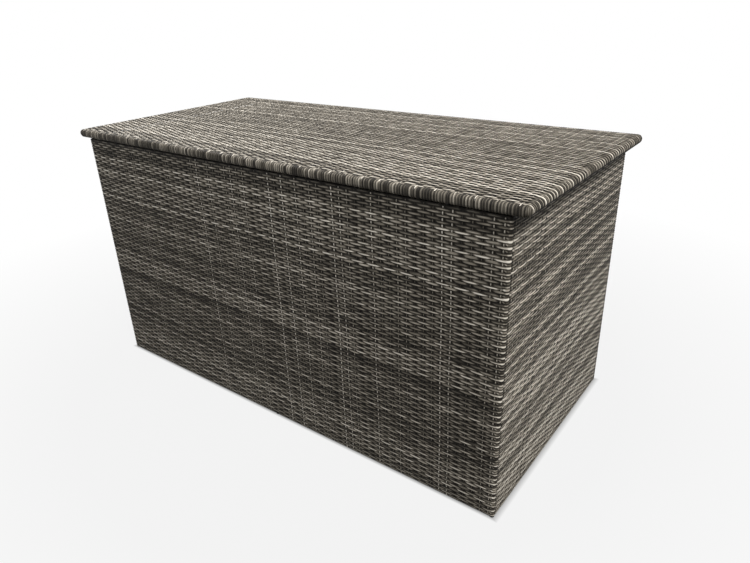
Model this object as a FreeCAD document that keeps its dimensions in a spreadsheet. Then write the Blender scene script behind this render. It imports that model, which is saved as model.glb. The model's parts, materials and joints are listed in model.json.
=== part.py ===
"""Woven garden cushion box with a hinged lid on gas struts.

Four woven panels stand on glides. Each is plastic cane on a flat oval tube frame.
The side panels are bolted between the front and back ones, and a frame with slats is
the floor. The lid is cane on a round tube frame, on three butt hinges behind the
back panel. A gas strut at each end holds it up.

Millimetres. +Z is up, +X to the right seen from the front, which faces -Y. The origin
is on the floor, under the middle of the whole box.
"""
import FreeCAD, Part
import os
import re
import Sketcher
from FreeCAD import Placement, Rotation, Vector

SIZES = {
    # the box
    "body_length": 1500, "body_depth": 740, "body_top": 789, "glide_height": 4,
    # woven cane: one thickness of weave, the space between rows, the slit between two
    "skin": 2, "row_pitch": 7.14, "slit_depth": 0.7, "slit_width": 1.6, "fit_gap": 0.2,
    # how far a drill or cutter runs past the face that it starts or ends at
    "run_past": 1,
    # panel frames of flat oval tube
    "tube_wide": 20, "tube_deep": 10, "tube_round": 4.9, "joint_gap": 0.3,
    # floor
    "floor_tube": 20, "floor_round": 2, "slat_wide": 66, "slat_thick": 4,
    "slat_round": 1.5, "slat_count": 9, "slat_end_gap": 4,
    # glides, rubber stops
    "glide_radius": 7, "glide_taper": 1, "glide_stem": 3, "glide_plug": 16,
    "stop_radius": 5, "stop_inset": 150, "stop_stem": 2, "stop_plug": 8, "soft_gap": 0.3,
    # lid
    "lid_gap": 4, "lid_tube": 20, "lid_end_over": 40, "lid_front_over": 10,
    "cross_wide": 20, "cross_deep": 10, "cross_round": 2, "cross_end_inset": 15,
    # panel bolts with their threaded inserts
    "bolt_radius": 2.5, "bolt_head_radius": 4.5, "bolt_head": 2.8, "bolt_level": 90,
    "insert_radius": 3.4, "insert_length": 6, "hole_gap": 0.1,
    # small screws
    "screw_radius": 1.75, "screw_head_radius": 3.4, "screw_head": 1.4, "screw_bite": 7,
    # butt hinges
    "hinge_inset": 180, "leaf_long": 70, "leaf_thick": 1.6, "fixed_leaf_deep": 20,
    "lid_leaf_deep": 34, "knuckle_radius": 4, "knuckle_gap": 0.3, "pin_radius": 2,
    "pin_fit": 0.05, "pin_head": 1.2, "pin_head_radius": 3,
    # gas struts
    "strut_inset": 34, "strut_body_back": 120, "strut_lid_back": 180, "strut_lid_drop": 14,
    "cylinder_radius": 9, "cylinder_bore": 7.5, "cylinder_end": 3, "rod_radius": 4,
    "piston_length": 8, "piston_gap": 3, "gland_length": 7, "eye_radius": 8, "eye_wide": 8,
    "stem_radius": 5, "stem_reach": 22,
    "rod_shown": 15, "stud_radius": 3, "stud_head_radius": 5.5, "stud_head": 2,
    "plate_thick": 3, "plate_long": 60, "plate_gap": 8, "open_gap": 0.5,
    "plate_end_radius": 12,
}

doc = FreeCAD.newDocument("cushion_box")
sizes = doc.addObject("Spreadsheet::Sheet", "Sizes")
for line, (alias, number) in enumerate(SIZES.items(), 1):
    sizes.set("A%d" % line, alias)
    sizes.set("B%d" % line, str(number))
    sizes.setAlias("B%d" % line, alias)
doc.recompute()

# Places and sizes worked out from the sheet, as expressions
HALF_LONG = "(body_length / 2)"
HALF_DEEP = "(body_depth / 2)"
PANEL_HIGH = "(body_top - glide_height)"
SHELL = "(skin + fit_gap)"
WRAP = "(tube_deep / 2 + skin + fit_gap)"
WRAP_BORE = "(tube_deep / 2 + fit_gap)"
TUBE_MID = "(skin + fit_gap + tube_deep / 2)"
SEAM = f"({WRAP} + sqrt(({WRAP}) ^ 2 - ({WRAP} - skin) ^ 2) + joint_gap)"
SIDE_HALF = f"({HALF_DEEP} - 2 * {WRAP} - joint_gap)"
END_POST = f"({HALF_LONG} - {TUBE_MID})"
FLOOR_HALF = f"({HALF_LONG} - 2 * {WRAP} - joint_gap)"
FLOOR_LOW = f"(glide_height + {SHELL})"
SLAT_LOW = f"({FLOOR_LOW} + floor_tube)"
SIDE_INNER = f"({HALF_LONG} - {SHELL} - tube_deep)"
LID_WRAP = f"(lid_tube / 2 + {SHELL})"
LID_BORE = "(lid_tube / 2 + fit_gap)"
LID_LOW = "(body_top + lid_gap)"
LID_MID = f"({LID_LOW} + {LID_WRAP})"
LID_TOP = f"({LID_LOW} + 2 * {LID_WRAP})"
LID_END = f"({HALF_LONG} + lid_end_over - {LID_WRAP})"
LID_FRONT = f"(-{HALF_DEEP} - lid_front_over + {LID_WRAP})"
LID_BACK = f"({HALF_DEEP} - {LID_WRAP})"
LID_FRAME_TOP = f"({LID_MID} + lid_tube / 2)"
PIN_Y = f"({HALF_DEEP} + lid_front_over - knuckle_radius)"
PIN_Z = "(body_top + lid_gap / 2)"
STRUT_X = f"({HALF_LONG} - strut_inset)"
FOOT_Y = f"({PIN_Y} - strut_body_back)"
FOOT_Z = f"(glide_height + {PANEL_HIGH} / 2)"
HEAD_Y = f"({PIN_Y} - strut_lid_back)"
HEAD_Z = f"({PIN_Z} - strut_lid_drop)"
CLOSED = f"sqrt(({HEAD_Y} - {FOOT_Y}) ^ 2 + ({HEAD_Z} - {FOOT_Z}) ^ 2)"
LEAN = f"atan2({HEAD_Y} - {FOOT_Y}; {HEAD_Z} - {FOOT_Z})"

UP = Vector(0, 0, 1)
DOWN = Vector(0, 0, -1)
RIGHT = Vector(1, 0, 0)
LEFT = Vector(-1, 0, 0)
BACKWARD = Vector(0, 1, 0)
FORWARD = Vector(0, -1, 0)
nodes = []


def bound(text):
    """An expression on the sheet's cells, from plain names or a number."""
    def name(match):
        word = match.group()
        return "Sizes." + word if word in SIZES else word
    return re.sub(r"[a-z_]+\d*", name, str(text))


def value(text):
    """The number that an expression gives now."""
    result = sizes.evalExpression(bound(text))
    return getattr(result, "Value", result)


def bind(thing, **properties):
    for name, text in properties.items():
        thing.setExpression(name, bound(text))
    return thing


def put(thing, x=0, y=0, z=0, turn=None):
    """Places a thing, with its three coordinates bound to the sheet."""
    thing.Placement = Placement(Vector(), turn or Rotation())
    for axis, text in zip("xyz", (x, y, z)):
        thing.setExpression("Placement.Base." + axis, bound(text))
    return thing


def node(thing, label):
    thing.Label = label
    nodes.append(thing)
    return thing


def box(low, size):
    made = bind(doc.addObject("Part::Box", "box"), Length=size[0], Width=size[1], Height=size[2])
    return put(made, *low)


def rod(start, direction, radius, length, sweep=360, roll=0):
    """A cylinder from its start point along a direction, or a slice of one."""
    made = doc.addObject("Part::Cylinder", "rod")
    bind(made, Radius=radius, Height=length, Angle=sweep)
    return put(made, *start, turn=Rotation(UP, direction) * Rotation(UP, roll))


def ball(centre, radius):
    return put(bind(doc.addObject("Part::Sphere", "ball"), Radius=radius), *centre)


def fuse(*things):
    made = doc.addObject("Part::MultiFuse", "fuse")
    made.Shapes = list(things)
    made.Refine = False
    return made


def cut(base, *tools):
    made = doc.addObject("Part::Cut", "cut")
    made.Refine = False
    made.Base = base
    made.Tool = tools[0] if len(tools) == 1 else group(*tools)
    return made


def group(*things):
    made = doc.addObject("Part::Compound", "group")
    made.Links = list(things)
    return made


def soften(base, direction, radius):
    """Rounds the edges of a block that run along a direction."""
    base.recompute()
    edges = []
    for index, edge in enumerate(base.Shape.Edges, 1):
        run = edge.tangentAt(edge.FirstParameter)
        if abs(abs(run.dot(direction)) - 1) < 1e-6:
            edges.append((index, value(radius), value(radius)))
    made = doc.addObject("Part::Fillet", "soft")
    made.Base = base
    made.Edges = edges
    return made


def new_body(name):
    body = doc.addObject("PartDesign::Body", name)
    planes = {feature.Role: feature for feature in body.Origin.OriginFeatures}
    return body, planes


def add_sketch(body, plane, name):
    sketch = body.newObject("Sketcher::SketchObject", name)
    sketch.AttachmentSupport = [(plane, "")]
    sketch.MapMode = "FlatFace"
    return sketch


def add_loop(sketch, points):
    """A closed run of straight lines whose corners are bound to the sheet."""
    spots = [Vector(value(x), value(y), 0) for x, y in points]
    first = sketch.GeometryCount
    count = len(spots)
    for i in range(count):
        sketch.addGeometry(Part.LineSegment(spots[i], spots[(i + 1) % count]), False)
    for i in range(count):
        sketch.addConstraint(Sketcher.Constraint(
            "Coincident", first + i, 2, first + (i + 1) % count, 1))
    for i, (point, spot) in enumerate(zip(points, spots)):
        for kind, text, number in (("DistanceX", point[0], spot.x), ("DistanceY", point[1], spot.y)):
            place = sketch.addConstraint(Sketcher.Constraint(kind, -1, 1, first + i, 1, number))
            sketch.setExpression("Constraints[%d]" % place, bound(text))


def rectangle(sketch, low, high):
    add_loop(sketch, [low, (high[0], low[1]), high, (low[0], high[1])])


def row_slab(name, half_wide, high, plain_end):
    """A sheet of weave with a slit between each two rows.

    Its outer face is at y = 0 and faces -Y, rows run along X, and it stands on z = 0.
    """
    body, planes = new_body(name)
    outline = add_sketch(body, planes["XZ_Plane"], name + "_outline")
    rectangle(outline, (f"-{half_wide}", 0), (half_wide, high))
    slab = body.newObject("PartDesign::Pad", name + "_sheet")
    slab.Profile = outline
    slab.Reversed = True
    bind(slab, Length="skin")
    slit = add_sketch(body, planes["YZ_Plane"], name + "_slit_shape")
    add_loop(slit, [("-fit_gap", "row_pitch - slit_width / 2"), ("slit_depth", "row_pitch"),
                    ("-fit_gap", "row_pitch + slit_width / 2")])
    groove = body.newObject("PartDesign::Pocket", name + "_slit")
    groove.Profile = slit
    groove.Midplane = True
    bind(groove, Length=f"2 * ({half_wide} - {plain_end})")
    doc.recompute()
    rows = body.newObject("PartDesign::LinearPattern", name + "_rows")
    rows.Originals = [groove]
    rows.Direction = (planes["Z_Axis"], [""])
    count = f"floor({high} / row_pitch) - 2"
    bind(rows, Occurrences=count, Length=f"({count} - 1) * row_pitch")
    body.Tip = rows
    return body


def tube_frame(half_wide, high, deep, rail, edge_round, columns, levels):
    """Straight tubes welded into a frame: whole posts, and rails coped to them.

    It starts at y = 0 and goes towards +Y, is centred on x = 0 and stands on z = 0.
    """
    wide = f"((2 * {half_wide} - {columns + 1} * {rail}) / {columns})"
    tall = f"(({high} - {levels + 1} * {rail}) / {levels})"
    posts = []
    rails = []
    for column in range(columns + 1):
        left = f"(-{half_wide} + {column} * ({wide} + {rail}))"
        posts.append(soften(box((left, 0, 0), (rail, deep, high)), UP, edge_round))
        if column == columns:
            break
        for level in range(levels + 1):
            foot = f"({level} * ({tall} + {rail}))"
            bar = box((f"{left} + {rail} / 2", 0, foot), (f"{wide} + {rail}", deep, rail))
            rails.append(soften(bar, RIGHT, edge_round))
    return group(*posts, cut(group(*rails), *posts))


def fastener(start, direction, shank_radius, length, head_radius, head):
    """A screw whose head sits on the start point, with its shank along the direction."""
    back = Rotation(UP, direction).multVec(DOWN)
    shank = rod(start, direction, shank_radius, length)
    return fuse(shank, rod(start, back, head_radius, head))


# Panels: the turn takes a panel's outer face from -Y to its own side
PANELS = {
    "front": (Rotation(), 0, f"-{HALF_DEEP}", HALF_LONG),
    "back": (Rotation(UP, 180), 0, HALF_DEEP, HALF_LONG),
    "left": (Rotation(UP, -90), f"-{HALF_LONG}", 0, HALF_DEEP),
    "right": (Rotation(UP, 90), HALF_LONG, 0, HALF_DEEP),
}
BOLT_LEVELS = ["bolt_level", f"({PANEL_HIGH} / 2 - tube_wide)", f"({PANEL_HIGH} - bolt_level)"]
HINGES = {"left": "(-body_length / 2 + hinge_inset)", "middle": "0",
          "right": "(body_length / 2 - hinge_inset)"}
SCREW_OFFSETS = ["-leaf_long / 3", "leaf_long / 3"]
FLOOR_SCREWS = [f"-{FLOOR_HALF} / 2", f"{FLOOR_HALF} / 2"]


def rail_wraps(half):
    """Cane round the top and bottom rails: over the edge and up the inner side."""
    pieces = []
    for edge, inner in ((0, 0), (f"{PANEL_HIGH} - skin", f"{PANEL_HIGH} - {SHELL} - tube_wide")):
        pieces.append(box((f"-{half}", 0, edge), (f"2 * {half}", f"2 * {WRAP}", "skin")))
        pieces.append(box((f"-{half}", f"2 * {WRAP} - skin", inner),
                          (f"2 * {half}", "skin", f"{SHELL} + tube_wide")))
    return pieces


def long_skin(name, holes):
    """Front or back weave, wrapped round its end tubes and over both rails."""
    flat = f"({HALF_LONG} - {WRAP})"
    border = rail_wraps(flat)
    for side, roll in ((-1, 90), (1, -90)):
        centre = (f"{side} * {flat}", WRAP, 0)
        wrap = rod(centre, UP, WRAP, PANEL_HIGH, sweep=180, roll=roll)
        bore = rod(centre, UP, WRAP_BORE, PANEL_HIGH, sweep=180, roll=roll)
        border.append(cut(wrap, bore))
        inner = f"({side} * {flat} - (1 + {side}) / 2 * tube_wide)"
        border.append(box((inner, f"2 * {WRAP} - skin", 0), ("tube_wide", "skin", PANEL_HIGH)))
    return fuse(row_slab(name, flat, PANEL_HIGH, "tube_wide / 2"), cut(fuse(*border), *holes))


def side_skin(name, holes):
    """Left or right weave, which lies between the front and back panels."""
    border = rail_wraps(SIDE_HALF)
    sheet = row_slab(name, f"({HALF_DEEP} - {SEAM})", PANEL_HIGH, 0)
    return fuse(sheet, cut(fuse(*border), *holes) if holes else fuse(*border))


def make_panels():
    for name, (turn, x, y, half) in PANELS.items():
        is_long = name in ("front", "back")
        half_frame = f"({HALF_LONG} - {SHELL})" if is_long else SIDE_HALF
        frame = tube_frame(half_frame, f"({PANEL_HIGH} - 2 * {SHELL})", "tube_deep",
                           "tube_wide", "tube_round", 3 if is_long else 1,
                           1 if is_long else 2)
        put(frame, 0, SHELL, SHELL)
        frame_holes = []
        skin_holes = []
        for side in (-1, 1):
            for level in BOLT_LEVELS:
                if is_long:
                    post = f"{side} * {END_POST}"
                    seat = f"({TUBE_MID} + insert_length / 2 + hole_gap)"
                    frame_holes.append(rod((post, seat, level), FORWARD,
                                           "insert_radius + hole_gap",
                                           "insert_length + 2 * hole_gap"))
                    frame_holes.append(rod((post, f"{SHELL} + tube_deep + run_past", level), FORWARD,
                                           "bolt_radius + hole_gap", "tube_deep / 2"))
                    skin_holes.append(rod((post, f"2 * {WRAP} + run_past", level), FORWARD,
                                          "bolt_radius + 4 * hole_gap", "skin + 2 * run_past"))
                else:
                    start = f"{side} * ({SIDE_HALF} + run_past)"
                    frame_holes.append(rod((start, TUBE_MID, level), RIGHT * -side,
                                           "bolt_radius + hole_gap", "tube_wide + 2 * run_past"))
        if name == "back":
            for hinge in HINGES.values():
                for offset in SCREW_OFFSETS:
                    top = (f"-({hinge}) + {offset}", TUBE_MID, f"{PANEL_HIGH} + run_past")
                    frame_holes.append(rod(top, DOWN, "screw_radius + hole_gap",
                                           f"screw_bite + {SHELL} + 2 * run_past"))
                    skin_holes.append(rod(top, DOWN, "screw_radius + 2 * hole_gap", "skin + 2 * run_past"))
        if is_long:
            for at in FLOOR_SCREWS:
                start = (at, f"2 * {WRAP} + run_past", f"{SHELL} + floor_tube / 2")
                frame_holes.append(rod(start, FORWARD, "screw_radius + hole_gap",
                                       f"screw_bite + {SHELL} + 2 * run_past"))
                skin_holes.append(rod(start, FORWARD, "screw_radius + 2 * hole_gap", "skin + 2 * run_past"))
            for at in (f"-{END_POST}", 0, END_POST):
                frame_holes.append(rod((at, TUBE_MID, 0), UP, "glide_stem + hole_gap",
                                       "glide_plug + run_past"))
                skin_holes.append(rod((at, TUBE_MID, "-run_past"), UP, "glide_stem + hole_gap",
                                      "skin + 2 * run_past"))
        if name == "front":
            for at in (f"-{HALF_LONG} + stop_inset", f"{HALF_LONG} - stop_inset"):
                top = (at, TUBE_MID, f"{PANEL_HIGH} + run_past")
                frame_holes.append(rod(top, DOWN, "stop_stem + hole_gap", "stop_plug + 2 * run_past"))
                skin_holes.append(rod(top, DOWN, "stop_stem + hole_gap", "skin + 2 * run_past"))
        if not is_long:
            for offset in ("-plate_long / 3", "plate_long / 3"):
                # The local x axis points to the back on the right panel, to the front on the left
                way = 1 if name == "right" else -1
                start = (f"{way} * ({FOOT_Y} + {offset})", f"{SHELL} + tube_deep + run_past",
                         f"{PANEL_HIGH} / 2")
                frame_holes.append(rod(start, FORWARD, "screw_radius + hole_gap",
                                       "screw_bite + 2 * run_past"))
        node(put(cut(frame, *frame_holes), x, y, "glide_height", turn), name + "_frame")
        weave = long_skin if is_long else side_skin
        skin = weave(name + "_cane", skin_holes)
        node(put(skin, x, y, "glide_height", turn), name + "_weave")


def make_floor():
    flat = Rotation(RIGHT, 90)
    frame = tube_frame(FLOOR_HALF, f"(2 * {SIDE_HALF})", "floor_tube", "floor_tube",
                       "floor_round", 3, 1)
    put(frame, 0, SIDE_HALF, FLOOR_LOW, flat)
    holes = []
    bolts = []
    for x in FLOOR_SCREWS:
        for side, outward in ((-1, FORWARD), (1, BACKWARD)):
            level = f"({FLOOR_LOW} + floor_tube / 2)"
            inner = f"{side} * ({SIDE_HALF} - floor_tube)"
            bolts.append(fastener((x, inner, level), outward, "screw_radius",
                                  f"floor_tube + joint_gap + {SHELL} + screw_bite",
                                  "screw_head_radius", "screw_head"))
            holes.append(rod((x, f"{side} * ({SIDE_HALF} - floor_tube - run_past)", level), outward,
                             "screw_radius + hole_gap", "floor_tube + 2 * run_past"))
    node(cut(frame, *holes), "base_frame")
    node(group(*bolts), "base_screws")

    body, planes = new_body("slats")
    body.AllowCompound = True
    section = add_sketch(body, planes["YZ_Plane"], "slat_section")
    rectangle(section, (f"-{SIDE_HALF}", SLAT_LOW),
              (f"-{SIDE_HALF} + slat_wide", f"{SLAT_LOW} + slat_thick"))
    slat = body.newObject("PartDesign::Pad", "slat")
    slat.Profile = section
    slat.Midplane = True
    bind(slat, Length=f"2 * ({FLOOR_HALF} - slat_end_gap)")
    doc.recompute()
    top = value(f"{SLAT_LOW} + slat_thick")
    edges = [f"Edge{index}" for index, edge in enumerate(slat.Shape.Edges, 1)
             if abs(edge.CenterOfMass.z - top) < 1e-6]
    rounded = body.newObject("PartDesign::Fillet", "slat_round")
    rounded.Base = (slat, edges)
    bind(rounded, Radius="slat_round")
    doc.recompute()
    rows = body.newObject("PartDesign::LinearPattern", "slat_rows")
    rows.Originals = [slat, rounded]
    rows.Direction = (planes["Y_Axis"], [""])
    bind(rows, Occurrences="slat_count", Length=f"2 * {SIDE_HALF} - slat_wide")
    body.Tip = rows
    node(body, "base_slats")


def make_small_parts():
    glides = []
    stops = []
    bolts = []
    inserts = []
    for side in (-1, 1):
        post_y = f"{side} * ({HALF_DEEP} - {TUBE_MID})"
        for x in (f"-{END_POST}", 0, END_POST):
            pad = soften_disc((x, post_y, 0), "glide_radius", "glide_height")
            glides.append(fuse(pad, rod((x, post_y, "glide_height"), UP, "glide_stem",
                                        "glide_plug")))
        for end in (-1, 1):
            for level in BOLT_LEVELS:
                z = f"glide_height + {level}"
                post_x = f"{end} * {END_POST}"
                head_y = f"{side} * ({SIDE_HALF} - tube_wide)"
                face_y = f"{side} * ({HALF_DEEP} - {TUBE_MID} - insert_length / 2)"
                outward = BACKWARD * side
                length = f"{HALF_DEEP} - {TUBE_MID} + insert_length / 2 - ({SIDE_HALF} - tube_wide)"
                bolts.append(fastener((post_x, head_y, z), outward, "bolt_radius", length,
                                      "bolt_head_radius", "bolt_head"))
                shell = rod((post_x, face_y, z), outward, "insert_radius", "insert_length")
                bore = rod((post_x, face_y, z), outward, "bolt_radius + hole_gap / 2",
                           "insert_length")
                inserts.append(cut(shell, bore))
    front_post = f"-({HALF_DEEP} - {TUBE_MID})"
    for x in (f"-{HALF_LONG} + stop_inset", f"{HALF_LONG} - stop_inset"):
        pad = rod((x, front_post, "body_top"), UP, "stop_radius", "lid_gap - soft_gap")
        stops.append(fuse(pad, rod((x, front_post, "body_top"), DOWN, "stop_stem", "stop_plug")))
    node(group(*glides), "foot_glides")
    node(group(*stops), "lid_stops")
    node(group(*bolts), "corner_bolts")
    node(group(*inserts), "threaded_inserts")


def soften_disc(centre, radius, high):
    """A foot pad that is drawn in a little where it meets the floor."""
    made = doc.addObject("Part::Cone", "pad")
    bind(made, Radius1=f"{radius} - glide_taper", Radius2=radius, Height=high)
    return put(made, *centre)


def make_lid():
    corners = [(side, y) for side in (-1, 1) for y in (LID_FRONT, LID_BACK)]
    tubes = [ball((f"{side} * {LID_END}", y, LID_MID), "lid_tube / 2") for side, y in corners]
    for y in (LID_FRONT, LID_BACK):
        tubes.append(rod((f"-{LID_END}", y, LID_MID), RIGHT, "lid_tube / 2", f"2 * {LID_END}"))
    for side in (-1, 1):
        tubes.append(rod((f"{side} * {LID_END}", LID_FRONT, LID_MID), BACKWARD, "lid_tube / 2",
                         f"{LID_BACK} - ({LID_FRONT})"))
    end_bar = f"({HALF_LONG} - cross_end_inset)"
    for share in (-1, -0.5, 0, 0.5, 1):
        left = f"{share} * {end_bar} - cross_wide / 2"
        bar = box((left, LID_FRONT, f"{LID_FRAME_TOP} - cross_deep"),
                  ("cross_wide", f"{LID_BACK} - ({LID_FRONT})", "cross_deep"))
        tubes.append(soften(bar, BACKWARD, "cross_round"))
    holes = []
    for x in HINGES.values():
        for offset in SCREW_OFFSETS:
            start = (f"{x} + {offset}", LID_BACK, f"{LID_LOW} - run_past")
            holes.append(rod(start, UP, "screw_radius + hole_gap", "screw_bite + skin + run_past"))
    for side in (-1, 1):
        for offset in ("-plate_long / 3", "plate_long / 3"):
            start = (f"{side} * {end_bar}", f"{HEAD_Y} + {offset}",
                     f"{LID_FRAME_TOP} - cross_deep - run_past")
            holes.append(rod(start, UP, "screw_radius + hole_gap", "screw_bite + 2 * run_past"))
    node(cut(fuse(*tubes), *holes), "lid_frame")

    deep = f"({LID_BACK} - ({LID_FRONT}))"
    top = row_slab("lid_cane", LID_END, deep, 0)
    put(top, 0, LID_FRONT, LID_TOP, Rotation(RIGHT, -90))
    pieces = [top]
    for side, roll in ((-1, 180), (1, 0)):
        centre = (f"{side} * {LID_END}", LID_FRONT, LID_MID)
        # Seen along +Y, a slice of half a turn covers the outer side of the end tube
        wrap = rod(centre, BACKWARD, LID_WRAP, deep, sweep=180, roll=roll - 90)
        bore = rod(centre, BACKWARD, LID_BORE, deep, sweep=180, roll=roll - 90)
        pieces.append(cut(wrap, bore))
    node(group(*pieces), "lid_weave")

    for name, y, roll in (("front", LID_FRONT, -1), ("back", LID_BACK, 1)):
        make_binding(name, y, roll, holes if name == "back" else [])


def make_binding(name, y, side, holes):
    """Cane wound round a lid tube, with a rounded knob over the corner at each end."""
    start = (f"-{LID_END}", y, LID_MID)
    roll = 90 - 90 * side
    length = f"2 * {LID_END}"
    wrap = rod(start, RIGHT, LID_WRAP, length)
    bore = rod(start, RIGHT, LID_BORE, length)
    knobs = [ball((f"{end} * {LID_END}", y, LID_MID), LID_WRAP) for end in (-1, 1)]
    hollows = [ball((f"{end} * {LID_END}", y, LID_MID), LID_BORE) for end in (-1, 1)]
    reach = f"(2 * {LID_WRAP})"
    keep_low = f"{y} - {reach}" if side < 0 else y
    outer_half = box((f"-{LID_END} - {reach}", keep_low, f"{LID_MID} - {reach}"),
                     (f"{length} + 2 * {reach}", reach, f"2 * {reach}"))
    half = doc.addObject("Part::MultiCommon", "half")
    half.Shapes = [cut(fuse(wrap, *knobs), fuse(bore, *hollows)), outer_half]
    node(cut(half, *holes) if holes else half, f"lid_{name}_binding")


def make_hinges():
    body_screws = []
    lid_screws = []
    for name, x in HINGES.items():
        left = f"({x} - leaf_long / 2)"
        third = "(leaf_long / 3)"
        plate_back = f"({PIN_Y} - knuckle_radius - 2 * knuckle_gap)"
        bore = rod((f"{left} - run_past", PIN_Y, PIN_Z), RIGHT, "pin_radius + pin_fit",
                   "leaf_long + 2 * run_past")
        fixed_low = "body_top"
        lid_low = f"({LID_LOW} - leaf_thick)"
        screw_y = f"({HALF_DEEP} - {TUBE_MID})"
        fixed = [box((left, f"{PIN_Y} - fixed_leaf_deep", fixed_low),
                     ("leaf_long", f"{plate_back} - ({PIN_Y} - fixed_leaf_deep)", "leaf_thick"))]
        for start in (left, f"({left} + 2 * {third})"):
            fixed.append(box((start, plate_back, fixed_low),
                             (f"{third} - knuckle_gap", f"{PIN_Y} - {plate_back}", "leaf_thick")))
            fixed.append(rod((start, PIN_Y, PIN_Z), RIGHT, "knuckle_radius",
                             f"{third} - knuckle_gap"))
        middle = f"({left} + {third} + knuckle_gap / 2)"
        wide = f"({third} - 2 * knuckle_gap)"
        lid = [box((left, f"{PIN_Y} - lid_leaf_deep", lid_low),
                   ("leaf_long", f"{plate_back} - ({PIN_Y} - lid_leaf_deep)", "leaf_thick")),
               box((middle, plate_back, lid_low), (wide, f"{PIN_Y} - {plate_back}", "leaf_thick")),
               rod((middle, PIN_Y, PIN_Z), RIGHT, "knuckle_radius", wide)]
        fixed_holes = [bore]
        lid_holes = [rod((f"{left} - run_past", PIN_Y, PIN_Z), RIGHT, "pin_radius + pin_fit",
                         "leaf_long + 2 * run_past")]
        for offset in SCREW_OFFSETS:
            fixed_top = (f"{x} + {offset}", screw_y, f"{fixed_low} + leaf_thick")
            fixed_holes.append(rod(fixed_top, DOWN, "screw_radius + hole_gap", "leaf_thick + run_past"))
            fixed_holes.append(sink(fixed_top, DOWN))
            body_screws.append(countersunk(fixed_top, DOWN, "leaf_thick + skin + screw_bite"))
            lid_face = (f"{x} + {offset}", LID_BACK, lid_low)
            lid_holes.append(rod(lid_face, UP, "screw_radius + hole_gap", "leaf_thick + run_past"))
            lid_holes.append(sink(lid_face, UP))
            lid_screws.append(countersunk(lid_face, UP, "leaf_thick + skin + screw_bite"))
        node(cut(fuse(*fixed), *fixed_holes), f"hinge_{name}_fixed_leaf")
        node(cut(fuse(*lid), *lid_holes), f"hinge_{name}_lid_leaf")
        shaft = rod((left, PIN_Y, PIN_Z), RIGHT, "pin_radius", "leaf_long - knuckle_gap")
        caps = [rod((left, PIN_Y, PIN_Z), LEFT, "pin_head_radius", "pin_head"),
                rod((f"{left} + leaf_long - knuckle_gap", PIN_Y, PIN_Z), RIGHT,
                    "pin_head_radius", "pin_head")]
        node(fuse(shaft, *caps), f"hinge_{name}_pin")
    node(group(*body_screws), "hinge_body_screws")
    node(group(*lid_screws), "hinge_lid_screws")


def sink(face, inward):
    """The tapered seat of a countersunk head."""
    made = doc.addObject("Part::Cone", "seat")
    bind(made, Radius1="screw_head_radius + hole_gap", Radius2="screw_radius + hole_gap",
         Height="screw_head")
    return put(made, *face, turn=Rotation(UP, inward))


def countersunk(face, inward, length):
    head = doc.addObject("Part::Cone", "head")
    bind(head, Radius1="screw_head_radius", Radius2="screw_radius", Height="screw_head")
    put(head, *face, turn=Rotation(UP, inward))
    return fuse(head, rod(face, inward, "screw_radius", length))


def eye(height, toward):
    """An end eye of a strut, at a height along it, with its stem towards the middle."""
    left = "-eye_wide / 2"
    ring = rod((left, 0, height), RIGHT, "eye_radius", "eye_wide")
    sign = 1 if toward == UP else -1
    stem = rod((0, 0, f"{height} + {sign} * stud_head_radius"), toward, "stem_radius",
               "stem_reach - stud_head_radius")
    bore = rod(("-eye_wide", 0, height), RIGHT, "stud_radius + pin_fit", "2 * eye_wide")
    return cut(fuse(ring, stem), bore)


def lean(thing, side):
    """Puts a piece that was drawn upright on the strut's own line."""
    put(thing, f"{side} * {STRUT_X}", FOOT_Y, FOOT_Z, Rotation(LEFT, value(LEAN)))
    return bind(thing, **{"Placement.Rotation.Angle": LEAN})


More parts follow.
